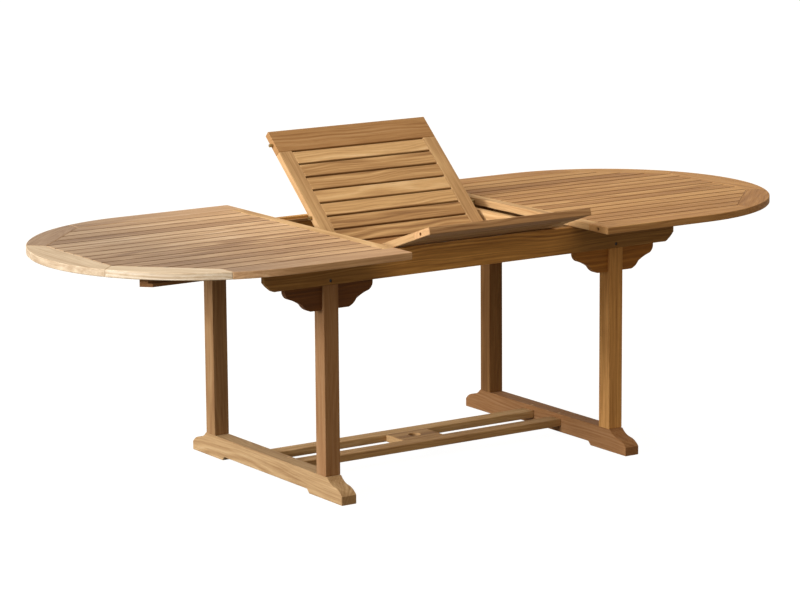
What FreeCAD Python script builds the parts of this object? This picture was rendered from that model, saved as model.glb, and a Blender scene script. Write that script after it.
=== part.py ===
"""Draw leaf dining table in teak, with two sliding D-shaped tops and a folding centre leaf.

Frame: millimetres, +Z up, origin on the floor under the middle of the table.
X runs along the table, and the front long side is at -Y.
The tops are drawn apart and the leaf is half raised, folded in a V about its hinges.
"""
import FreeCAD, Part
import math
import os
from FreeCAD import Vector

os.makedirs("parts", exist_ok=True)

# ---- driving dimensions ---------------------------------------------------
# overall
table_height = 750.0
table_half_width = 525.0
leaf_length = 590.0            # along X, between the two tops
draw_clearance = 61.0          # room left each side of the leaf when the tops are drawn apart
panel_thickness = 22.0         # tops and leaf

# sliding tops
top_straight = 393.0           # straight part of a long edge; the end is a half circle
long_rail_width = 95.0
inner_stile_width = 38.0
end_rail_width = 103.0         # at the middle of the round end
corner_slats = 4               # slats shortened by each 45 degree corner of the field
top_slat_count = 15
top_slat_gap = 5.0
board_ease = 1.5               # eased edge on every board

# folding leaf
leaf_outer_rail_width = 85.0
leaf_inner_rail_width = 59.0
leaf_stile_width = 48.0
leaf_slat_count = 7
leaf_slat_gap = 6.0
leaf_joint_gap = 1.0           # between the two halves when flat
hinge_axis_rise = 1.0          # hinge pins stand this far above the leaf's face
pivot_y = 125.0                # pivot pin of the rear half
pivot_drop = 78.0              # pivot pin below the table's face
tilt_deg = 41.6                # rear half, raised from flat
rest_clearance = 1.2           # front half clear of the apron, so that it also clears on its way
batten_x = 150.0               # middle of each batten under the leaf's slats
batten_width = 38.0
batten_thickness = 6.0
batten_gap = 38.0              # battens end this far inside the aprons

# alignment pins
align_pin_radius = 5.0
align_pin_inset = 48.0         # outer pins, from the tops' long edges
align_inner_y = 178.0          # inner pins, in the stiles
align_pin_proud = 12.0
align_pin_embed = 20.0
align_hole_clearance = 0.3
align_hole_depth = 14.0

# base
leg_x = 52.0
leg_y = 52.0
leg_centre_x = 525.0
top_overhang = 177.0           # the tops' long edges stand out past the aprons' outer faces
foot_height = 70.0
foot_set_in = 91.0             # foot's toe, from the tops' long edges
foot_toe_height = 27.0
foot_toe_sag = 4.0             # how far the toe's curves leave a straight line
foot_relief = 12.0
foot_pad_length = 181.0
tenon_x = 20.0
tenon_y = 30.0
tenon_length = 35.0
apron_thickness = 20.0
apron_depth = 82.4
apron_half_length = 752.0
apron_ogee_length = 40.0
apron_ogee_height = 28.0
apron_running_gap = 0.6        # under the tops
bracket_thickness = 22.0
bracket_setback = 9.0
bracket_depth = 74.0
bracket_half_top = 152.0
bracket_half_bottom = 66.0
cross_rail_thickness = 22.0
cross_rail_depth = 58.0
cross_rail_clearance = 3.0     # under the runners
pivot_rail_clearance = 14.0    # beside the leaf, so that the alignment pins pass
pivot_rail_rise = 10.0         # above the apron's bottom edge
pivot_pin_radius = 4.0
pivot_running_clearance = 0.05
ear_thickness = 14.0
ear_half_width = 18.0
ear_below_pin = 11.0

# stretcher
stretcher_top = 56.0
stretcher_thickness = 23.0
stretcher_rail_width = 50.0
stretcher_rail_y = 73.0
stretcher_block_half = 75.0
stretcher_tenon_length = 20.0
stretcher_tenon_width = 35.0
stretcher_tenon_height = 13.0
parasol_hole_radius = 20.0
dowel_radius = 5.0
dowel_length = 48.0

# slides under the tops
runner_thickness = 27.5
runner_height = 28.0
runner_start = 20.0            # from a top's inner edge
runner_end = 780.0             # its outer end is mitred, inside the top's round edge
slide_gap = 0.5
strip_depth = 10.0
strip_height = 8.0
strip_drop = 9.0               # strip's top face below the tops' underside
strip_half_length = 725.0

# hardware
screw_radius = 3.0
screw_head_radius = 4.8
screw_head_height = 4.0
screw_recess_radius = 5.2
screw_recess_depth = 6.0
screw_length = 44.0
screw_rise = 12.5              # above the apron's bottom edge
hinge_count = 3
hinge_pitch = 200.0
hinge_length = 60.0
hinge_plate_thickness = 2.0
hinge_plate_height = 17.0
knuckle_radius = 3.5
knuckle_clearance = 0.8
hinge_pin_radius = 1.5

# ---- values worked out from them ------------------------------------------
leaf_half = leaf_length / 2.0
inner_edge = leaf_half + draw_clearance
underside = table_height - panel_thickness
apron_top = underside - apron_running_gap
apron_bottom = apron_top - apron_depth
apron_outer = table_half_width - top_overhang
leg_centre_y = apron_outer - leg_y / 2.0
foot_half_length = table_half_width - foot_set_in
apron_inner = apron_outer - apron_thickness
bracket_bottom = apron_bottom - bracket_depth
cross_rail_top = underside - runner_height - cross_rail_clearance
cross_rail_bottom = cross_rail_top - cross_rail_depth
pivot_rail_bottom = apron_bottom + pivot_rail_rise
align_pin_y = table_half_width - align_pin_inset
field_half = table_half_width - long_rail_width
slat_pitch = (2.0 * field_half - top_slat_gap) / top_slat_count
corner_cut = corner_slats * slat_pitch + top_slat_gap / 2.0
end_line = inner_edge + top_straight + table_half_width - end_rail_width
pivot_z = table_height - pivot_drop
hinge_z = table_height + hinge_axis_rise
pin_z = table_height - panel_thickness / 2.0
stretcher_bottom = stretcher_top - stretcher_thickness
leaf_pivot = Vector(0, pivot_y, pivot_z)
X_AXIS = Vector(1, 0, 0)
Y_AXIS = Vector(0, 1, 0)
Z_AXIS = Vector(0, 0, 1)


# ---- helpers ---------------------------------------------------------------
def box(x0, x1, y0, y1, z0, z1):
    """A box between two corners."""
    low = Vector(min(x0, x1), min(y0, y1), min(z0, z1))
    return Part.makeBox(abs(x1 - x0), abs(y1 - y0), abs(z1 - z0), low)


def ease(shape, size=board_ease):
    """The shape with all its edges eased by a small chamfer."""
    return shape.makeChamfer(size, shape.Edges)


def board(x0, x1, y0, y1, z0, z1):
    """A sawn board with eased edges."""
    return ease(box(x0, x1, y0, y1, z0, z1))


def prism(points, z0, z1):
    """An upright prism on a polygon of (x, y) points."""
    wire = Part.makePolygon([Vector(x, y, z0) for x, y in points + points[:1]])
    return Part.Face(wire).extrude(Vector(0, 0, z1 - z0))


def rod(base, direction, radius, length):
    """A round rod from a base point."""
    return Part.makeCylinder(radius, length, base, direction)


def turned(shape, centre, axis, degrees):
    """A copy of the shape turned about an axis."""
    copy = shape.copy()
    copy.rotate(centre, axis, degrees)
    return copy


def half_turn(shape):
    """A copy turned half round about the table's upright middle axis."""
    return turned(shape, Vector(0, 0, 0), Z_AXIS, 180.0)


def mirrored_y(shape):
    """A copy mirrored from the front half to the rear half."""
    return shape.mirror(Vector(0, 0, 0), Y_AXIS)


def save(name, shapes):
    """Write one node from one solid or a list of separate solids."""
    solids = shapes if isinstance(shapes, list) else [shapes]
    solids = [solid for shape in solids for solid in shape.Solids]
    whole = solids[0] if len(solids) == 1 else Part.makeCompound(solids)
    whole.exportStep("parts/" + name + ".step")


# ---- base: feet, legs, stretcher -------------------------------------------
def foot_profile():
    """Half the foot's side view, as (y, z) edges from the middle to the toe."""
    flat_end = leg_centre_y + leg_y / 2.0 + 5.0
    toe = foot_half_length
    relief_end = toe - foot_pad_length
    middle_y = (flat_end + toe) / 2.0
    middle_z = (foot_height + foot_toe_height) / 2.0
    return flat_end, toe, relief_end, middle_y, middle_z


def make_foot(side):
    flat_end, toe, relief_end, middle_y, middle_z = foot_profile()
    x0 = side * leg_centre_x - leg_x / 2.0

    def at(y, z):
        return Vector(x0, y, z)

    sag = foot_toe_sag
    dip = at((flat_end + middle_y) / 2.0 - sag / 2.0, (foot_height + middle_z) / 2.0 - sag)
    swell = at((middle_y + toe) / 2.0 + sag / 2.0, (middle_z + foot_toe_height) / 2.0 + sag)
    half = [
        Part.LineSegment(at(0, foot_height), at(flat_end, foot_height)),
        Part.Arc(at(flat_end, foot_height), dip, at(middle_y, middle_z)),
        Part.Arc(at(middle_y, middle_z), swell, at(toe, foot_toe_height)),
        Part.LineSegment(at(toe, foot_toe_height), at(toe, 0)),
        Part.LineSegment(at(toe, 0), at(relief_end, 0)),
        Part.LineSegment(at(relief_end, 0), at(relief_end - foot_relief, foot_relief)),
        Part.LineSegment(at(relief_end - foot_relief, foot_relief), at(0, foot_relief)),
        Part.LineSegment(at(0, foot_relief), at(0, foot_height)),
    ]
    face = Part.Face(Part.Wire([curve.toShape() for curve in half]))
    rear = face.extrude(Vector(leg_x, 0, 0))
    body = rear.fuse(mirrored_y(rear)).removeSplitter()
    side_edges = [edge for edge in body.Edges if edge.BoundBox.XLength < 0.01]
    body = body.makeChamfer(board_ease, side_edges)
    for leg_side in (-1, 1):
        y = leg_side * leg_centre_y
        x = side * leg_centre_x
        body = body.cut(box(x - tenon_x / 2, x + tenon_x / 2, y - tenon_y / 2, y + tenon_y / 2,
                            foot_height - tenon_length, foot_height))
        body = body.cut(stretcher_tenon(side, leg_side))
        body = body.cut(make_dowel(side, leg_side))
    return body


def stretcher_tenon(side, rail_side):
    """The tenon of a stretcher rail that enters a foot."""
    face = side * (leg_centre_x - leg_x / 2.0)
    middle_z = stretcher_top - stretcher_thickness / 2.0
    y = rail_side * stretcher_rail_y
    return box(face, face + side * stretcher_tenon_length,
               y - stretcher_tenon_width / 2, y + stretcher_tenon_width / 2,
               middle_z - stretcher_tenon_height / 2, middle_z + stretcher_tenon_height / 2)


def make_dowel(side, rail_side):
    """The dowel that pins a stretcher tenon, driven down through the foot's top."""
    x = side * (leg_centre_x - leg_x / 2.0 + stretcher_tenon_length / 2.0)
    base = Vector(x, rail_side * stretcher_rail_y, foot_height - dowel_length)
    return rod(base, Z_AXIS, dowel_radius, dowel_length)


def make_stretcher_rail(rail_side):
    end = leg_centre_x - leg_x / 2.0
    y = rail_side * stretcher_rail_y
    rail = board(-end, end, y - stretcher_rail_width / 2, y + stretcher_rail_width / 2,
                 stretcher_bottom, stretcher_top)
    for side in (-1, 1):
        rail = rail.fuse(stretcher_tenon(side, rail_side))
    for side in (-1, 1):
        rail = rail.cut(make_dowel(side, rail_side))
    return rail


def make_stretcher_block():
    half_y = stretcher_rail_y - stretcher_rail_width / 2.0
    block = board(-stretcher_block_half, stretcher_block_half, -half_y, half_y,
                  stretcher_bottom, stretcher_top)
    return block.cut(rod(Vector(0, 0, stretcher_bottom), Z_AXIS, parasol_hole_radius,
                         stretcher_thickness))


def make_screw(side, front):
    """The coach screw that holds an apron to a leg, head sunk in the apron."""
    start = Vector(side * leg_centre_x, front * (apron_outer - screw_recess_depth),
                   apron_bottom + screw_rise)
    inward = Vector(0, -front, 0)
    shank = rod(start, inward, screw_radius, screw_length)
    head = rod(start, Vector(0, front, 0), screw_head_radius, screw_head_height)
    return shank.fuse(head)


def make_leg(side, front):
    x = side * leg_centre_x
    y = front * leg_centre_y
    leg = board(x - leg_x / 2, x + leg_x / 2, y - leg_y / 2, y + leg_y / 2,
                foot_height, cross_rail_top + 2.0)
    leg = leg.fuse(box(x - tenon_x / 2, x + tenon_x / 2, y - tenon_y / 2, y + tenon_y / 2,
                       foot_height - tenon_length, foot_height + board_ease))
    leg = leg.cut(box(x - leg_x, x + leg_x, front * apron_inner, front * (apron_outer + 5),
                      apron_bottom, table_height))
    slot_outer = apron_outer - bracket_setback
    leg = leg.cut(box(x - leg_x, x + leg_x, front * (slot_outer - bracket_thickness),
                      front * slot_outer, bracket_bottom, apron_bottom))
    return leg.cut(make_screw(side, front))


# ---- base: aprons, brackets, cross rails ------------------------------------
def make_apron(front):
    """Long apron with ogee ends."""
    end = apron_half_length
    top = apron_top
    y0 = front * apron_inner
    depth = front * apron_thickness

    def at(x, z):
        return Vector(x, y0, z)

    def ogee(sign):
        """The end's two arcs, as shares of the ogee's length and height."""
        shares = [(1.0, 0.0), (0.72, 0.04), (0.55, 0.22), (0.28, 0.54), (0.05, 0.93)]
        points = [at(sign * (end - length * apron_ogee_length),
                     apron_bottom + height * apron_ogee_height) for length, height in shares]
        return points[0:3], points[2:5]

    right = [Part.Arc(*three).toShape() for three in ogee(1)]
    left = [Part.Arc(*three).toShape() for three in ogee(-1)]
    shoulder = apron_bottom + apron_ogee_height
    lines = [(ogee(-1)[0][0], ogee(1)[0][0]), (at(end, top), at(-end, top))]
    for sign in (-1, 1):
        lines.append((ogee(sign)[1][2], at(sign * end, shoulder)))
        lines.append((at(sign * end, shoulder), at(sign * end, top)))
    edges = right + left + [Part.LineSegment(a, b).toShape() for a, b in lines]
    wire = Part.Wire(Part.__sortEdges__(edges))
    apron = Part.Face(wire).extrude(Vector(0, depth, 0))
    outline = [edge for edge in apron.Edges if edge.BoundBox.YLength < 0.01]
    apron = apron.makeChamfer(board_ease, outline)
    for side in (-1, 1):
        apron = apron.cut(make_screw(side, front))
        recess = Vector(side * leg_centre_x, front * apron_outer, apron_bottom + screw_rise)
        apron = apron.cut(rod(recess, Vector(0, -front, 0), screw_recess_radius,
                              screw_recess_depth))
    return apron


def make_bracket(side, front):
    """Shaped bracket board under an apron, let into a slot through the leg."""
    x0 = side * leg_centre_x
    outer = apron_outer - bracket_setback
    y0 = front * (outer - bracket_thickness)
    top = apron_bottom
    low = bracket_bottom
    wide = bracket_half_top
    narrow = bracket_half_bottom

    def half(sign):
        def at(x, z):
            return Vector(x0 + sign * x, y0, z)

        def drop(share):
            return top - share * bracket_depth

        arcs = [
            (at(wide, drop(0.11)), at(wide - 5.5, drop(0.32)), at(wide - 21, drop(0.45))),
            (at(wide - 21, drop(0.45)), at(wide - 42, drop(0.57)), at(wide - 58, drop(0.70))),
            (at(wide - 58, drop(0.70)), at(narrow + 17, drop(0.88)), at(narrow, low)),
        ]
        lines = [(at(0, low), at(narrow, low)), (at(wide, drop(0.11)), at(wide, top)),
                 (at(wide, top), at(0, top))]
        return [Part.Arc(*three).toShape() for three in arcs] + \
               [Part.LineSegment(a, b).toShape() for a, b in lines]

    wire = Part.Wire(Part.__sortEdges__(half(1) + half(-1)))
    return Part.Face(wire).extrude(Vector(0, front * bracket_thickness, 0)).removeSplitter()


def make_cross_rail(side):
    """Rail between the two legs of an end frame, under the slides."""
    x = side * leg_centre_x
    half_y = leg_centre_y - leg_y / 2.0
    return board(x - cross_rail_thickness / 2, x + cross_rail_thickness / 2, -half_y, half_y,
                 cross_rail_bottom, cross_rail_top)


def make_pivot_rail(side):
    """Rail across the frame that carries a pivot pin; its ends pass under the runners."""
    near = side * (leaf_half + pivot_rail_clearance)
    far = near + side * cross_rail_thickness
    step_y = apron_inner - runner_thickness - 5.0
    rail = box(near, far, -apron_inner, apron_inner, pivot_rail_bottom, cross_rail_top)
    rail = rail.fuse(box(near, far, -step_y, step_y, pivot_rail_bottom, apron_top))
    rail = ease(rail.removeSplitter())
    return rail.cut(make_pivot_pin(side))


def make_pivot_pin(side):
    """Steel pin fixed in a pivot rail, entering the leaf's ear."""
    tip = leaf_half - ear_thickness - 2.0
    reach = leaf_half + pivot_rail_clearance + cross_rail_thickness - tip
    return rod(Vector(side * tip, pivot_y, pivot_z), Vector(side, 0, 0), pivot_pin_radius, reach)


def make_guide_strip(front):
    """Hardwood tongue along an apron's inner face, which the runners' grooves slide on."""
    top = underside - strip_drop
    return box(-strip_half_length, strip_half_length, front * (apron_inner - strip_depth),
               front * apron_inner, top - strip_height, top)


# ---- sliding tops, built at +X and turned for the other side ------------------
def top_outline():
    """The D-shaped outline of one top, extruded."""
    x0 = inner_edge
    x1 = x0 + top_straight
    w = table_half_width

    def at(x, y):
        return Vector(x, y, underside)

    edges = [
        Part.LineSegment(at(x0, -w), at(x1, -w)),
        Part.Arc(at(x1, -w), at(x1 + w, 0), at(x1, w)),
        Part.LineSegment(at(x1, w), at(x0, w)),
        Part.LineSegment(at(x0, w), at(x0, -w)),
    ]
    face = Part.Face(Part.Wire([curve.toShape() for curve in edges]))
    return face.extrude(Vector(0, 0, panel_thickness))


def field_corners():
    """The inside corners of a top's frame: rail end and end-rail end, at the front."""
    rail_corner = (end_line - corner_cut, -field_half)
    end_corner = (end_line, -field_half + corner_cut)
    return rail_corner, end_corner


def outward(point, degrees, reach=300.0):
    """A far point on a mitre line, at an angle from +X towards the front."""
    angle = math.radians(degrees)
    return (point[0] + reach * math.cos(angle), point[1] - reach * math.sin(angle))


def make_top_frame():
    """The six frame pieces of the right top: front rail, corner, end, corner, rear rail, stile."""
    outline = top_outline()
    rail_corner, end_corner = field_corners()
    rail_far = outward(rail_corner, 90.0)
    end_far = outward(end_corner, 45.0)
    rail_shape = [(inner_edge, -field_half), rail_corner, rail_far,
                  (inner_edge, rail_far[1])]
    corner_shape = [rail_corner, end_corner, end_far, rail_far]
    end_shape = [end_corner, (end_corner[0], -end_corner[1]), (end_far[0], -end_far[1]), end_far]
    pieces = []
    for shape in (rail_shape, corner_shape, end_shape):
        pieces.append(outline.common(prism(shape, underside, table_height)))
    rail, corner, end = pieces
    stile = box(inner_edge, inner_edge + inner_stile_width, -field_half, field_half,
                underside, table_height)
    return {
        "front_rail": rail, "front_corner": corner, "end_rail": ease(end),
        "rear_corner": ease(mirrored_y(corner)), "rear_rail": mirrored_y(rail),
        "inner_stile": ease(stile),
    }


def make_top_slats():
    """Slats between the inner stile and the end, cut to the field's corners."""
    rail_corner, end_corner = field_corners()
    start = inner_edge + inner_stile_width
    field = [(start, -field_half), rail_corner, end_corner,
             (end_corner[0], -end_corner[1]), (rail_corner[0], -rail_corner[1]),
             (start, field_half)]
    area = prism(field, underside, table_height)
    slats = []
    for index in range(top_slat_count):
        low = -field_half + top_slat_gap + index * slat_pitch
        high = low + slat_pitch - top_slat_gap
        strip = box(start, end_corner[0], low, high, underside, table_height)
        slats.append(ease(strip.common(area)))
    return slats


def align_bore(face_x, side, y, radius, depth):
    """A bore into a panel's end; side points into the panel."""
    return rod(Vector(face_x, y, pin_z), Vector(side, 0, 0), radius, depth)


def align_pin(face_x, side, y):
    """An alignment pin fixed in a panel's end, standing out along side."""
    base = Vector(face_x - side * align_pin_embed, y, pin_z)
    return rod(base, Vector(side, 0, 0), align_pin_radius, align_pin_embed + align_pin_proud)


def bored(piece, y, has_pin):
    """A piece of the right top with a tight bore for a pin, or a clear hole for one."""
    if has_pin:
        return piece.cut(align_bore(inner_edge, 1, y, align_pin_radius, align_pin_embed))
    hole = align_pin_radius + align_hole_clearance
    return piece.cut(align_bore(inner_edge, 1, y, hole, align_hole_depth))


def make_runner(front):
    """Grooved runner under a top, sliding on the apron's guide strip; its outer end is mitred."""
    outer = apron_inner - slide_gap
    inner = outer - runner_thickness
    x0 = inner_edge + runner_start
    x1 = inner_edge + runner_end
    points = [(x0, inner), (x1, inner), (x1 - runner_thickness, outer), (x0, outer)]
    strip_top = underside - strip_drop
    runner = prism(points, underside - runner_height, underside)
    runner = runner.cut(box(x0, x1, apron_inner - strip_depth - slide_gap, outer,
                            strip_top - strip_height - slide_gap, strip_top + slide_gap))
    return runner if front > 0 else mirrored_y(runner)


# ---- folding leaf, built flat and then folded ----------------------------------
def fold_rear(shape):
    """Raise the rear half from flat about its pivot pins."""
    return turned(shape, leaf_pivot, X_AXIS, tilt_deg)


def hinge_point():
    """The hinge axis once the rear half is raised."""
    flat_y = -pivot_y
    flat_z = hinge_z - pivot_z
    angle = math.radians(tilt_deg)
    y = pivot_y + flat_y * math.cos(angle) - flat_z * math.sin(angle)
    z = pivot_z + flat_y * math.sin(angle) + flat_z * math.cos(angle)
    return Vector(0, y, z)


def front_tilt():
    """The front half's tilt, with its underside resting on the front apron's inner edge."""
    axis = hinge_point()
    run = apron_inner + board_ease + axis.y
    rise = apron_top + rest_clearance - axis.z
    depth = hinge_z - underside
    return math.degrees(math.atan2(rise, run) + math.asin(depth / math.hypot(rise, run)))


def fold_front(shape):
    """Turn the front half from flat to its place against the raised rear half."""
    axis = hinge_point()
    moved = shape.copy()
    moved.translate(Vector(0, axis.y, axis.z - hinge_z))
    return turned(moved, axis, X_AXIS, -front_tilt())


def leaf_board(x0, x1, y0, y1):
    return board(x0, x1, y0, y1, underside, table_height)


def hinge_places():
    """X of each butt hinge's middle."""
    middle = (hinge_count - 1) / 2.0
    return [(index - middle) * hinge_pitch for index in range(hinge_count)]


def hinge_plate(x, side):
    """A hinge plate let into the joint edge; side is 1 at the rear, -1 at the front."""
    near = side * leaf_joint_gap / 2.0
    return box(x - hinge_length / 2, x + hinge_length / 2, near,
               near + side * hinge_plate_thickness, hinge_z - hinge_plate_height, hinge_z)


def knuckle(x0, length, radius):
    return rod(Vector(x0, 0, hinge_z), X_AXIS, radius, length)


def make_hinge_half(side):
    """Plates with their knuckles: two outer knuckles at the rear, one between at the front."""
    third = hinge_length / 3.0
    halves = []
    for x in hinge_places():
        left = x - hinge_length / 2.0
        middle = knuckle(left + third, third, knuckle_radius)
        middle_room = knuckle(left + third - pivot_running_clearance,
                              third + 2 * pivot_running_clearance,
                              knuckle_radius + knuckle_clearance)
        outer = [knuckle(left, third, knuckle_radius), knuckle(left + 2 * third, third, knuckle_radius)]
        outer_room = [knuckle(left, third, knuckle_radius + knuckle_clearance),
                      knuckle(left + 2 * third, third, knuckle_radius + knuckle_clearance)]
        plate = hinge_plate(x, side)
        if side > 0:
            half = plate.cut(middle_room).fuse(outer)
            half = half.cut(knuckle(left, hinge_length, hinge_pin_radius))
        else:
            half = plate.cut(outer_room).fuse(middle)
            half = half.cut(knuckle(left, hinge_length,
                                    hinge_pin_radius + pivot_running_clearance))
        halves.append(half)
    return halves


def make_leaf_half(side):
    """Boards of a flat leaf half; side is 1 at the rear, -1 at the front."""
    near = leaf_joint_gap / 2.0
    inner_line = leaf_inner_rail_width
    outer_line = table_half_width - leaf_outer_rail_width
    outer = leaf_board(-leaf_half, leaf_half, side * outer_line, side * table_half_width)
    inner = leaf_board(-leaf_half, leaf_half, side * near, side * inner_line)
    for x in hinge_places():
        inner = inner.cut(hinge_plate(x, side))
        inner = inner.cut(knuckle(x - hinge_length / 2 - 1, hinge_length + 2,
                                  knuckle_radius + knuckle_clearance))
    # the rear half's pins are in its left end, the front half's in its right end
    pin_end = -side
    hole = align_pin_radius + align_hole_clearance
    outer = outer.cut(align_bore(side * leaf_half, -side, side * align_pin_y, hole,
                                 align_hole_depth))
    outer = outer.cut(align_bore(pin_end * leaf_half, side, side * align_pin_y,
                                 align_pin_radius, align_pin_embed))
    stiles = []
    for end in (-1, 1):
        stile = leaf_board(end * leaf_half, end * (leaf_half - leaf_stile_width),
                           side * inner_line, side * outer_line)
        if end == pin_end:
            bore = align_bore(end * leaf_half, -end, side * align_inner_y, align_pin_radius,
                              align_pin_embed)
        else:
            bore = align_bore(end * leaf_half, -end, side * align_inner_y, hole,
                              align_hole_depth)
        stiles.append(stile.cut(bore))
    pitch = (outer_line - inner_line - leaf_slat_gap) / leaf_slat_count
    half_x = leaf_half - leaf_stile_width
    slats = []
    for index in range(leaf_slat_count):
        low = inner_line + leaf_slat_gap + index * pitch
        slats.append(leaf_board(-half_x, half_x, side * low,
                                side * (low + pitch - leaf_slat_gap)))
    pins = [align_pin(pin_end * leaf_half, pin_end, side * y)
            for y in (align_pin_y, align_inner_y)]
    battens = [box(end * batten_x - batten_width / 2, end * batten_x + batten_width / 2,
                   side * inner_line / 2.0, side * (apron_inner - batten_gap),
                   underside - batten_thickness, underside)
               for end in (-1, 1)]
    return outer, inner, stiles, slats, pins, battens


def make_ear(end):
    """Ear under a stile of the rear half, bored for the pivot pin."""
    x0 = end * leaf_half
    x1 = end * (leaf_half - ear_thickness)
    bottom = pivot_z - ear_below_pin
    ear = box(x0, x1, pivot_y - ear_half_width, pivot_y + ear_half_width, bottom, underside)
    corners = [edge for edge in ear.Edges
               if edge.BoundBox.ZMax < bottom + 0.01 and edge.BoundBox.XLength > 1.0]
    ear = ear.makeFillet(ear_below_pin - 1.0, corners)
    bore = rod(Vector(end * (leaf_half - ear_thickness), pivot_y, pivot_z), Vector(end, 0, 0),
               pivot_pin_radius + pivot_running_clearance, ear_thickness)
    return ear.cut(bore)


# ---- write the nodes -------------------------------------------------------------
SIDES = (("left", -1), ("right", 1))
FRONTS = (("front", -1), ("rear", 1))

for side_name, side in SIDES:
    save(side_name + "_foot", make_foot(side))
    save(side_name + "_cross_rail", make_cross_rail(side))
    save(side_name + "_pivot_rail", make_pivot_rail(side))
    for front_name, front in FRONTS:
        save(front_name + "_" + side_name + "_leg", make_leg(side, front))
        save(front_name + "_" + side_name + "_bracket", make_bracket(side, front))

for front_name, front in FRONTS:
    save(front_name + "_apron", make_apron(front))
    save(front_name + "_stretcher_rail", make_stretcher_rail(front))

save("guide_strips", [make_guide_strip(front) for _, front in FRONTS])
save("stretcher_block", make_stretcher_block())
save("stretcher_dowels", [make_dowel(side, rail) for _, side in SIDES for _, rail in FRONTS])
save("apron_screws", [make_screw(side, front) for _, side in SIDES for _, front in FRONTS])
save("pivot_pins", [make_pivot_pin(side) for _, side in SIDES])

front_swap = {"front": "rear", "rear": "front"}
for side_name, side in SIDES:
    place = half_turn if side < 0 else (lambda shape: shape)
    frame = make_top_frame()
    # pins stand in the rear edge of the right top; the left top is the same piece turned
    frame["front_rail"] = bored(ease(frame["front_rail"]), -align_pin_y, False)
    frame["rear_rail"] = bored(ease(frame["rear_rail"]), align_pin_y, True)
    frame["front_corner"] = ease(frame["front_corner"])
    stile = bored(frame["inner_stile"], -align_inner_y, False)
    frame["inner_stile"] = bored(stile, align_inner_y, True)
    for piece_name, piece in frame.items():
        words = piece_name.split("_")
        if side < 0 and words[0] in front_swap:
            words[0] = front_swap[words[0]]
        save(side_name + "_top_" + "_".join(words), place(piece))
    save(side_name + "_top_slats", [place(slat) for slat in make_top_slats()])
    save(side_name + "_top_runners", [place(make_runner(front)) for _, front in FRONTS])
    save(side_name + "_top_pins", [place(align_pin(inner_edge, -1, y))
                                   for y in (align_pin_y, align_inner_y)])

for half_name, side, fold in (("rear_leaf", 1, fold_rear), ("front_leaf", -1, fold_front)):
    outer, inner, stiles, slats, pins, battens = make_leaf_half(side)
    save(half_name + "_outer_rail", fold(outer))
    save(half_name + "_inner_rail", fold(inner))
    save(half_name + "_left_stile", fold(stiles[0]))
    save(half_name + "_right_stile", fold(stiles[1]))
    save(half_name + "_slats", [fold(slat) for slat in slats])
    save(half_name + "_pins", [fold(pin) for pin in pins])
    save(half_name + "_battens", [fold(batten) for batten in battens])
    save(half_name + "_hinge_plates", [fold(half) for half in make_hinge_half(side)])
save("rear_leaf_ears", [fold_rear(make_ear(end)) for end in (-1, 1)])
save("leaf_hinge_pins", [fold_rear(knuckle(x - hinge_length / 2, hinge_length, hinge_pin_radius))
                         for x in hinge_places()])

print("hinge axis", hinge_point(), "front tilt", front_tilt())
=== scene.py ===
import math

import bpy
from mathutils import Euler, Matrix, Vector


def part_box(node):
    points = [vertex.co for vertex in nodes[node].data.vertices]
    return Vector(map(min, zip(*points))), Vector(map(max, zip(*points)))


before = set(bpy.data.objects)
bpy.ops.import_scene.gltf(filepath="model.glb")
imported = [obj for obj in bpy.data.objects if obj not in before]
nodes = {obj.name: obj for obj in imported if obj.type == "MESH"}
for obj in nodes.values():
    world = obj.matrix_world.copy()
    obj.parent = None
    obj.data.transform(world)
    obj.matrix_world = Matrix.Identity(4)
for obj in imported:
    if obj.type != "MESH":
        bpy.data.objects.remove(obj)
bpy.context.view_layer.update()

# ---- feet ---------------------------------------------------------------------------
# Two solid teak bars along Y, one under each end frame, with ogee toes and a relief cut
# between two pads. Sawn from thick stock and oiled, so the grain runs along the foot.


def linear(hex_colour):
    """An sRGB hex colour as linear RGBA."""
    parts = [int(hex_colour[start:start + 2], 16) / 255.0 for start in (1, 3, 5)]
    return [part / 12.92 if part <= 0.04045 else ((part + 0.055) / 1.055) ** 2.4
            for part in parts] + [1.0]


def add(tree, kind, links, **settings):
    """Add one shader node with its settings, and wire or fill its inputs."""
    node = tree.nodes.new("ShaderNode" + kind)
    for name, value in settings.items():
        setattr(node, name, value)
    for socket, value in links.items():
        if isinstance(value, bpy.types.NodeSocket):
            tree.links.new(value, node.inputs[socket])
        else:
            node.inputs[socket].default_value = value
    return node


# Oiled teak: a golden brown heartwood with darker growth lines a few millimetres apart,
# long open pores and a dull face. No two boards are the same colour.
TONE_STEPS = ((0.30, 0.23, 0.21), (0.69, 0.62, 0.56), (1.0, 1.0, 1.0), (1.28, 1.45, 1.75))
TONE_PLACES = (0.10, 0.38, 0.60, 0.90)
TEAK_ROUGHNESS = 0.72
TEAK_SPECULAR = 0.22          # an oiled, weathered face shines less than a plain IOR of 1.5

# The figure's sizes. Pairs are features per metre along and across the grain. Growth lines
# and pores are finer on real teak, and are drawn as coarse as they need to be to show.
RING_PITCH = 0.0065           # metres between growth rings
BENDS = (2.6, 9.0)            # slow bends of the rings, about 385 mm by 110 mm
BEND_DEPTH = 0.055            # metres that a bend carries the rings sideways
MOTTLE = (3.4, 36.0)          # cloudy patches, about 295 mm by 28 mm
STREAKS = (5.0, 190.0)        # growth lines on the face, about 200 mm by 5 mm
PORES = (28.0, 850.0)         # open pores, about 36 mm by 1.2 mm
LOG_SPREAD = (9.0, 7.0, 5.0)  # metres between the boards' places in the log, at most
PITH_ASIDE = 0.055            # metres that the pith may lie to either side of a board
PITH_UNDER = (0.018, 0.068)   # metres that the pith may lie under its middle

# How much of the tone each part of the figure moves.
RING_SHARE = 0.42
MOTTLE_SHARE = 0.34
STREAK_SHARE = 0.42
BOARD_SHARE = 0.28

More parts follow.
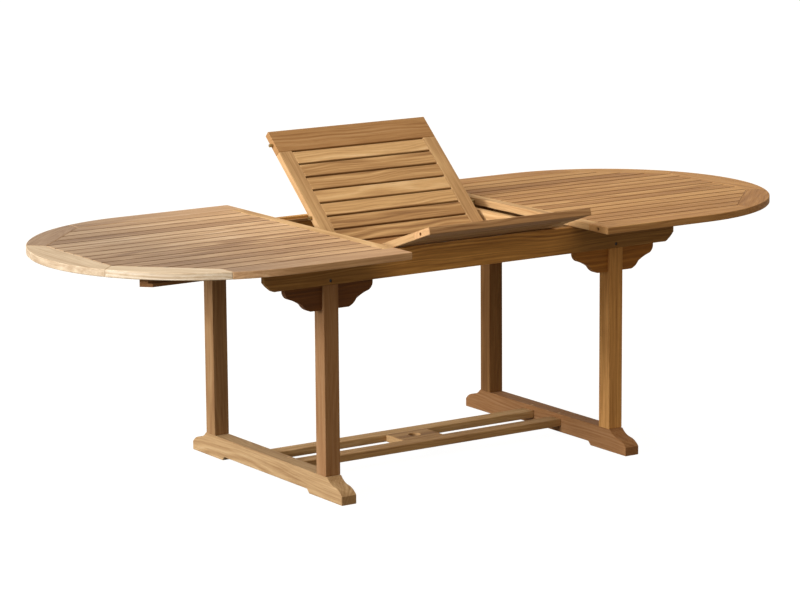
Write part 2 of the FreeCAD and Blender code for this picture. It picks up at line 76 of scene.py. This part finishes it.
# Between which levels of its noise a pore opens, and how squarely a face has to look along
# the grain to be end grain.
PORE_EDGES = (0.56, 0.72)
PORE_DARKNESS = 0.26
END_FACING = (0.6, 0.85)
END_GRAIN_EVENNESS = 0.6

ALONG_X = (0.0, 0.0, 0.0)
ALONG_Y = (0.0, 0.0, math.radians(-90.0))
board_count = 0


def shades(middle):
    """A board's tones round its middle one, from the growth lines to the palest wood."""
    base = linear(middle)
    return [[part * share for part, share in zip(base, step)] + [1.0] for step in TONE_STEPS]


def teak(node_name, tones, turn=ALONG_X, pitch=0.0, figure=1.0, end_tone=2):
    """Give a node its own teak; turn brings its grain to X, and pitch parts its slats.

    figure is how strongly the growth rings show, and end_tone the tone of end grain. The
    material's node tree comes back, for what age, dirt and painted shade add to the wood's
    colour.
    """
    global board_count
    board_count += 1
    low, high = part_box(node_name)
    middle = (low + high) / 2.0
    middle.rotate(Euler(turn))
    material = bpy.data.materials.new("oiled_teak_" + node_name)
    material.use_nodes = True
    tree = material.node_tree
    place = add(tree, "TexCoord", {})
    grain = add(tree, "Mapping", {"Vector": place.outputs["Object"], "Rotation": turn,
                                  "Location": -middle})
    along = add(tree, "SeparateXYZ", {"Vector": grain.outputs["Vector"]})
    across = along.outputs["Y"]
    board = float(board_count)
    if pitch:
        # slats lie side by side in one node, an odd number of them: each gets its own
        # middle line, and a number that no slat of another node has
        numbers_apart = 31.0
        lane = add(tree, "Math", {0: across, 1: 1.0 / pitch, 2: 0.5},
                   operation="MULTIPLY_ADD")
        number = add(tree, "Math", {0: lane.outputs[0]}, operation="FLOOR")
        board = add(tree, "Math", {0: number.outputs[0], 1: board * numbers_apart},
                    operation="ADD").outputs[0]
        part = add(tree, "Math", {0: lane.outputs[0]}, operation="FRACT")
        across = add(tree, "Math", {0: part.outputs[0], 1: pitch, 2: -pitch / 2.0},
                     operation="MULTIPLY_ADD").outputs[0]
    luck = add(tree, "TexWhiteNoise", {"W": board}, noise_dimensions="1D")
    chance = add(tree, "SeparateXYZ", {"Vector": luck.outputs["Color"]})

    # where in the log this board was: far from its neighbours for the noises
    log_place = add(tree, "VectorMath", {0: luck.outputs["Color"], 1: LOG_SPREAD,
                                         2: grain.outputs["Vector"]},
                    operation="MULTIPLY_ADD")

    def grain_noise(features, detail):
        """Noise drawn out along the grain, with so many features per metre."""
        stretch = (features[0], features[1], features[1])
        stretched = add(tree, "VectorMath", {0: log_place.outputs["Vector"], 1: stretch},
                        operation="MULTIPLY")
        return add(tree, "TexNoise", {"Vector": stretched.outputs["Vector"], "Scale": 1.0,
                                      "Detail": detail, "Roughness": 0.55}).outputs[0]

    # growth rings: bands of distance from the pith, which lies under the board's face
    pith_y = add(tree, "Math", {0: chance.outputs["X"], 1: -2.0 * PITH_ASIDE, 2: PITH_ASIDE},
                 operation="MULTIPLY_ADD")
    pith_z = add(tree, "Math", {0: chance.outputs["Y"], 1: PITH_UNDER[1] - PITH_UNDER[0],
                                2: PITH_UNDER[0]},
                 operation="MULTIPLY_ADD")
    from_pith_y = add(tree, "Math", {0: across, 1: pith_y.outputs[0]}, operation="ADD")
    from_pith_z = add(tree, "Math", {0: along.outputs["Z"], 1: pith_z.outputs[0]},
                      operation="ADD")
    pith = add(tree, "CombineXYZ", {"Y": from_pith_y.outputs[0], "Z": from_pith_z.outputs[0]})
    radius = add(tree, "VectorMath", {0: pith.outputs["Vector"]}, operation="LENGTH")
    bends = grain_noise(BENDS, 1.5)
    bent = add(tree, "Math", {0: bends, 1: BEND_DEPTH, 2: radius.outputs["Value"]},
               operation="MULTIPLY_ADD")
    ring_place = add(tree, "Math", {0: bent.outputs[0], 1: 1.0 / RING_PITCH},
                     operation="MULTIPLY")
    rings = add(tree, "TexNoise", {"W": ring_place.outputs[0], "Scale": 1.0, "Detail": 1.5},
                noise_dimensions="1D").outputs[0]

    mottle = grain_noise(MOTTLE, 2.5)
    streaks = grain_noise(STREAKS, 3.0)
    pores = grain_noise(PORES, 1.0)

    tone = 0.5
    for source, share in ((rings, RING_SHARE * figure), (mottle, MOTTLE_SHARE),
                          (streaks, STREAK_SHARE), (chance.outputs["Z"], BOARD_SHARE)):
        centred = add(tree, "Math", {0: source, 1: share, 2: -share / 2.0},
                      operation="MULTIPLY_ADD")
        tone = add(tree, "Math", {0: centred.outputs[0], 1: tone}, operation="ADD").outputs[0]
    colour = add(tree, "ValToRGB", {"Fac": tone})
    stops = colour.color_ramp.elements
    stops[0].position, stops[0].color = TONE_PLACES[0], tones[0]
    stops[1].position, stops[1].color = TONE_PLACES[3], tones[3]
    for position, shade in zip(TONE_PLACES[1:3], tones[1:3]):
        stops.new(position).color = shade

    # pores are dark flecks; on end grain the bands close up into an even tone. A map range
    # takes a value (0), the two levels it lies between (1, 2) and what they become (3, 4),
    # and a colour mix a share (0), what there is (6) and what comes over it (7)
    fleck = add(tree, "MapRange", {0: pores, 1: PORE_EDGES[0], 2: PORE_EDGES[1], 3: 0.0,
                                   4: PORE_DARKNESS})
    facing = add(tree, "Mapping", {"Vector": place.outputs["Normal"], "Rotation": turn},
                 vector_type="VECTOR")
    facing_axis = add(tree, "SeparateXYZ", {"Vector": facing.outputs["Vector"]})
    end_face = add(tree, "Math", {0: facing_axis.outputs["X"]}, operation="ABSOLUTE")
    end_grain = add(tree, "MapRange", {0: end_face.outputs[0], 1: END_FACING[0],
                                       2: END_FACING[1], 3: 0.0, 4: END_GRAIN_EVENNESS})
    flecked = add(tree, "Mix", {0: fleck.outputs[0], 6: colour.outputs["Color"],
                                7: tones[0]}, data_type="RGBA")
    wood = add(tree, "Mix", {0: end_grain.outputs[0], 6: flecked.outputs[2],
                             7: tones[end_tone]}, data_type="RGBA").outputs[2]

    # the soft early wood wears down between the streaks, and the pores stay open
    relief = add(tree, "Math", {0: streaks, 1: pores}, operation="SUBTRACT")
    bump = add(tree, "Bump", {"Strength": 0.35, "Distance": 0.0004,
                              "Height": relief.outputs[0]})
    sheen = add(tree, "MapRange", {0: streaks, 1: 0.2, 2: 0.8, 3: TEAK_ROUGHNESS + 0.08,
                                   4: TEAK_ROUGHNESS - 0.08})
    shader = tree.nodes["Principled BSDF"]
    shader.inputs["Specular IOR Level"].default_value = TEAK_SPECULAR
    tree.links.new(wood, shader.inputs["Base Color"])
    tree.links.new(sheen.outputs[0], shader.inputs["Roughness"])
    tree.links.new(bump.outputs["Normal"], shader.inputs["Normal"])
    nodes[node_name].material_slots[0].material = material
    return tree


for side, colour in (("left", "#b5966e"), ("right", "#976c44")):
    teak(side + "_foot", shades(colour), ALONG_Y, end_tone=1)

# ---- legs ---------------------------------------------------------------------------
# Four square teak legs, tenoned into the feet and notched at the top for the apron and its
# bracket. The grain runs upright, and each was sawn from its own piece.
ALONG_Z = (0.0, math.radians(90.0), 0.0)
# The front right leg's pale tone is painted light on its faces; the other legs' tones differ
# as boards do.
leg_tones_and_painted_light = {"front_left": "#966f4a", "front_right": "#d9a666", "rear_left": "#997650",
               "rear_right": "#946c3e"}
for corner, colour in leg_tones_and_painted_light.items():
    teak(corner + "_leg", shades(colour), ALONG_Z, figure=0.7)

# ---- stretcher ----------------------------------------------------------------------
# Two flat teak rails from foot to foot with a block between them, bored for a parasol pole.
# Each tenon is pinned by a dowel, whose end grain shows in the foot's top.
HONEY = shades("#c9a576")
for name in ("front_stretcher_rail", "rear_stretcher_rail", "stretcher_block"):
    teak(name, shades("#c4a071"))
teak("stretcher_dowels", HONEY, ALONG_Z)

# ---- aprons, brackets and rails -------------------------------------------------------
# The long teak aprons end in ogees and stand on shaped brackets let into the legs. Cross
# rails tie the legs, and two rails inside the frame carry the leaf's pivots.
GOLDEN = shades("#b98e5c")
# where the painted shade under the tops begins and where it is full
TOP_SHADE_FROM = (0.27, 0.40)   # metres from the table's middle, where the tops' ends lie


def paint_shade_under_tops(tree):
    """Paint shade on a long board: darker where the tops cover it than between them."""
    place = add(tree, "TexCoord", {})
    endward = add(tree, "SeparateXYZ", {"Vector": place.outputs["Object"]})
    from_middle = add(tree, "Math", {0: endward.outputs["X"]}, operation="ABSOLUTE")
    shade_under_tops = add(tree, "MapRange", {0: from_middle.outputs[0], 1: TOP_SHADE_FROM[0],
                                     2: TOP_SHADE_FROM[1], 3: 0.0, 4: 0.95})
    base = tree.nodes["Principled BSDF"].inputs["Base Color"]
    wood = add(tree, "HueSaturation", {"Value": 0.55, "Color": base.links[0].from_socket,
                                       "Fac": shade_under_tops.outputs[0]})
    tree.links.new(wood.outputs[0], base)


# each apron is painted darker under the tops: painted shade, not a change in the wood
for long_side in ("front", "rear"):
    paint_shade_under_tops(teak(long_side + "_apron", shades("#ecb86e"), figure=1.2))
    # the left brackets' dark tone is painted shade under the left top
    for side, colour in (("left", "#6d4216"), ("right", "#b8803c")):
        teak("_".join((long_side, side, "bracket")), shades(colour))
for side in ("left", "right"):
    teak(side + "_cross_rail", GOLDEN, ALONG_Y)
    teak(side + "_pivot_rail", HONEY, ALONG_Y)
teak("guide_strips", GOLDEN)

# ---- sliding tops -----------------------------------------------------------------------
# Two D-shaped teak tops on grooved runners, each a frame of six boards round a field of
# slats. The left one has gone paler and greyer than the right one, as teak does in the
# sun, and its end rail and front corner were sawn from paler boards.
PALE = shades("#c8b69d")
ALONG_DIAGONAL = (0.0, 0.0, math.radians(-45.0))
ACROSS_DIAGONAL = (0.0, 0.0, math.radians(45.0))
# the colour of the slats' sides in their gaps: painted shade, with some dirt
GAP_SHADE_AND_DIRT = linear("#472c18")
SIDE_FACING = (0.35, 0.80)    # how squarely a face has to look sideways to be a slat's side
UP_FACING = (0.5, 0.9)
GREY_REACH = (-0.25, -0.95)   # metres along the table, from where grey begins to full grey
top_slat_pitch = 0.057


def paint_gap_shade_and_dirt(tree, turn, amount):
    """Darken the slats' sides and the edges above them: painted shade in the gaps, with dirt.
    """
    place = add(tree, "TexCoord", {})
    facing = add(tree, "Mapping", {"Vector": place.outputs["Normal"], "Rotation": turn},
                 vector_type="VECTOR")
    sideways = add(tree, "SeparateXYZ", {"Vector": facing.outputs["Vector"]})
    side_face = add(tree, "Math", {0: sideways.outputs["Y"]}, operation="ABSOLUTE")
    # the sideways faces get the painted shade and dirt of the gaps
    gap_shade_and_dirt = add(tree, "MapRange", {0: side_face.outputs[0], 1: SIDE_FACING[0],
                                   2: SIDE_FACING[1], 3: 0.0, 4: amount})
    base = tree.nodes["Principled BSDF"].inputs["Base Color"]
    wood = add(tree, "Mix", {0: gap_shade_and_dirt.outputs[0], 6: base.links[0].from_socket,
                             7: GAP_SHADE_AND_DIRT}, data_type="RGBA")
    tree.links.new(wood.outputs[2], base)


def silver(tree):
    """Grey the upper face towards the table's left end; its edges keep their colour."""
    place = add(tree, "TexCoord", {})
    upward = add(tree, "SeparateXYZ", {"Vector": place.outputs["Normal"]})
    leftward = add(tree, "SeparateXYZ", {"Vector": place.outputs["Object"]})
    open_face = add(tree, "MapRange", {0: upward.outputs["Z"], 1: UP_FACING[0],
                                       2: UP_FACING[1], 3: 0.0, 4: 1.0})
    reach = add(tree, "MapRange", {0: leftward.outputs["X"], 1: GREY_REACH[0],
                                   2: GREY_REACH[1], 3: 0.0, 4: 1.0})
    greyed = add(tree, "Math", {0: open_face.outputs[0], 1: reach.outputs[0]},
                 operation="MULTIPLY")
    base = tree.nodes["Principled BSDF"].inputs["Base Color"]
    wood = add(tree, "HueSaturation", {"Saturation": 0.84, "Value": 0.54,
                                       "Color": base.links[0].from_socket,
                                       "Fac": greyed.outputs[0]})
    tree.links.new(wood.outputs[0], base)


for side, slat_tones, rail_tones, end_tones, front_grain, rear_grain in (
        ("left", shades("#d9b389"), shades("#cba680"), PALE, ACROSS_DIAGONAL, ALONG_DIAGONAL),
        ("right", GOLDEN, GOLDEN, GOLDEN, ALONG_DIAGONAL, ACROSS_DIAGONAL)):
    top = side + "_top_"
    teak(top + "inner_stile", HONEY, ALONG_Y)
    teak(top + "end_rail", end_tones, ALONG_Y, figure=0.6)
    slats = teak(top + "slats", slat_tones, pitch=top_slat_pitch)
    paint_gap_shade_and_dirt(slats, ALONG_X, 0.85)
    # the runners' dark tone is painted shade under the tops
    teak(top + "runners", shades("#7a5430"))
    front_rail = teak(top + "front_rail", rail_tones)
    teak(top + "front_corner", end_tones, front_grain)
    rear_rail = teak(top + "rear_rail", rail_tones)
    rear_corner = teak(top + "rear_corner", rail_tones, rear_grain)
    if side == "left":
        for boards in (slats, front_rail, rear_rail, rear_corner):
            silver(boards)

# ---- folding leaf -----------------------------------------------------------------------
# Two framed teak halves joined by butt hinges, open in a V. The rear one turns on pins in
# the pivot rails, and the front one leans out over the front apron.
rear_slope = math.radians(41.6)
front_slope = math.radians(-18.7597)
leaf_field_width = 0.375
leaf_slat_pitch = leaf_field_width / 7
# The front half's outer rail is painted paler: painted light, for the light on its edge, which
# faces the front and a little up.
for half, slope, outer_colour in (("rear_leaf_", rear_slope, "#a47c50"),
                                  ("front_leaf_", front_slope, "#cba478")):
    level_x = (-slope, 0.0, 0.0)
    level_y = (-slope, 0.0, math.radians(-90.0))
    for name, colour in (("outer_rail", outer_colour), ("inner_rail", "#a77c50")):
        teak(half + name, shades(colour), level_x, figure=1.1)
    slats = teak(half + "slats", shades("#c8a373"), level_x, pitch=leaf_slat_pitch,
                 figure=1.2)
    paint_gap_shade_and_dirt(slats, level_x, 0.35)
    for name in ("left_stile", "right_stile", "battens"):
        teak(half + name, shades("#cfad7f"), level_y, figure=0.3)
teak("rear_leaf_ears", GOLDEN, (-rear_slope, 0.0, math.radians(-90.0)))

# ---- metal fittings -----------------------------------------------------------------------
# Turned brass pins, driven into the boards' edges to line up the tops and the leaf, brass
# butt hinges screwed under the leaf, and the steel screws of the aprons and pins of the
# pivots, painted nearly black as the shade of the screws' holes.
TURNING_MARKS = 900.0         # per metre: about 1 mm apart, far coarser than real, to show
TARNISH_PATCHES = 60.0        # per metre: about 17 mm across


def metal(name, hex_colour, rough, node_names):
    """A metal with turning marks and patches of tarnish, given to several nodes."""
    material = bpy.data.materials.new(name)
    material.use_nodes = True
    tree = material.node_tree
    place = add(tree, "TexCoord", {})
    marks = add(tree, "TexNoise", {"Vector": place.outputs["Object"], "Scale": TURNING_MARKS,
                                   "Detail": 2.0})
    dull = add(tree, "MapRange", {0: marks.outputs[0], 1: 0.3, 2: 0.7, 3: rough - 0.08,
                                  4: rough + 0.10})
    tarnish = add(tree, "TexNoise", {"Vector": place.outputs["Object"],
                                     "Scale": TARNISH_PATCHES, "Detail": 3.0})
    bright = linear(hex_colour)
    dark = [0.55 * part for part in bright[:3]] + [1.0]
    colour = add(tree, "Mix", {0: tarnish.outputs[0], 6: dark, 7: bright}, data_type="RGBA")
    bump = add(tree, "Bump", {"Strength": 0.2, "Distance": 0.0001,
                              "Height": marks.outputs[0]})
    shader = tree.nodes["Principled BSDF"]
    shader.inputs["Metallic"].default_value = 1.0
    tree.links.new(colour.outputs[2], shader.inputs["Base Color"])
    tree.links.new(dull.outputs[0], shader.inputs["Roughness"])
    tree.links.new(bump.outputs["Normal"], shader.inputs["Normal"])
    for node_name in node_names:
        nodes[node_name].material_slots[0].material = material


# aged brass: a dull yellow metal with a satin face
metal("aged_brass", "#a88a55", 0.42,
      ("left_top_pins", "right_top_pins", "rear_leaf_pins", "front_leaf_pins",
       "rear_leaf_hinge_plates", "front_leaf_hinge_plates", "leaf_hinge_pins"))
# steel painted nearly black and matt as shade, so that a screw head in its hole reads as a
# dark dot; the pivot pins share this colour
metal("steel_painted_with_recess_shade", "#403c37", 0.6, ("pivot_pins", "apron_screws"))

# ---- floor and surround ---------------------------------------------------------------------
# A matt painted floor that shows as near white, under a white surround. Both only look white:
# what they give back to the table is dimmer and warmer.
WHITE = linear("#ffffff")
floor_bounce = linear("#615b50")
floor_glow = 0.98
warm_fill = linear("#c7b495")
scene = bpy.context.scene
scene.view_settings.view_transform = "Standard"


def looked_at(tree):
    """1 where a surface is looked at, straight or by gloss or glass, and 0 for its light."""
    path = add(tree, "LightPath", {})
    seen = add(tree, "Math", {0: path.outputs["Is Camera Ray"],
                              1: path.outputs["Is Glossy Ray"]}, operation="MAXIMUM")
    return add(tree, "Math", {0: seen.outputs[0], 1: path.outputs["Is Transmission Ray"]},
               operation="MAXIMUM").outputs[0]


bpy.ops.object.select_all(action="DESELECT")
bpy.ops.mesh.primitive_plane_add(size=60.0, location=(0.0, 0.0, 0.0))
floor = bpy.context.object
floor.name = "studio_floor"
floor_paint = bpy.data.materials.new("pale_floor_paint")
floor_paint.use_nodes = True
tree = floor_paint.node_tree
glow = add(tree, "Math", {0: looked_at(tree), 1: floor_glow}, operation="MULTIPLY")
white = add(tree, "Emission", {"Color": WHITE, "Strength": glow.outputs[0]})
matt = add(tree, "BsdfDiffuse", {"Color": floor_bounce})
both = add(tree, "AddShader", {0: matt.outputs[0], 1: white.outputs[0]})
tree.links.new(both.outputs[0], tree.nodes["Material Output"].inputs["Surface"])
floor.data.materials.append(floor_paint)

world = bpy.data.worlds.new("white_surround")
scene.world = world
world.use_nodes = True
tree = world.node_tree
level = add(tree, "Mix", {0: looked_at(tree), 6: warm_fill, 7: WHITE}, data_type="RGBA")
tree.links.new(level.outputs[2], tree.nodes["Background"].inputs["Color"])

# ---- lamps ----------------------------------------------------------------------------------
# Two soft lamps on the left: a long one high up, and a small one low down that reaches the
# legs under the tops.
for name, width, length, watts, lamp_place, aim_height in (
        ("soft_lamp", 6.0, 14.0, 1560.0, (-10.6, 0.9, 9.2), 0.5),
        ("low_panel", 3.0, 3.0, 1030.0, (-11.2, -0.8, 3.8), 0.3)):
    lamp_data = bpy.data.lights.new(name, "AREA")
    lamp_data.shape = "RECTANGLE"
    lamp_data.size = width
    lamp_data.size_y = length
    lamp_data.energy = watts
    lamp = bpy.data.objects.new(name, lamp_data)
    scene.collection.objects.link(lamp)
    lamp.location = lamp_place
    beam = Vector((0.0, 0.0, aim_height)) - lamp.location
    lamp.rotation_euler = beam.to_track_quat("-Z", "Y").to_euler()

# ---- camera ---------------------------------------------------------------------------------
# A long lens ten metres off, in front of the table and to its left, looking a little down.
camera_place = (-5.4729, -8.1325, 2.3942)
camera_pitch = math.radians(78.981)
camera_yaw = math.radians(-33.6925)
camera_roll = math.radians(-0.4274)
camera_data = bpy.data.cameras.new("camera")
camera_data.sensor_width = 36.0
camera_data.sensor_fit = "HORIZONTAL"
camera_data.lens = 144.45
camera = bpy.data.objects.new("camera", camera_data)
scene.collection.objects.link(camera)
camera.location = camera_place
aim = Euler((camera_pitch, 0.0, camera_yaw)).to_matrix()
roll = Euler((0.0, 0.0, camera_roll)).to_matrix()
camera.rotation_euler = (aim @ roll).to_euler()
scene.camera = camera
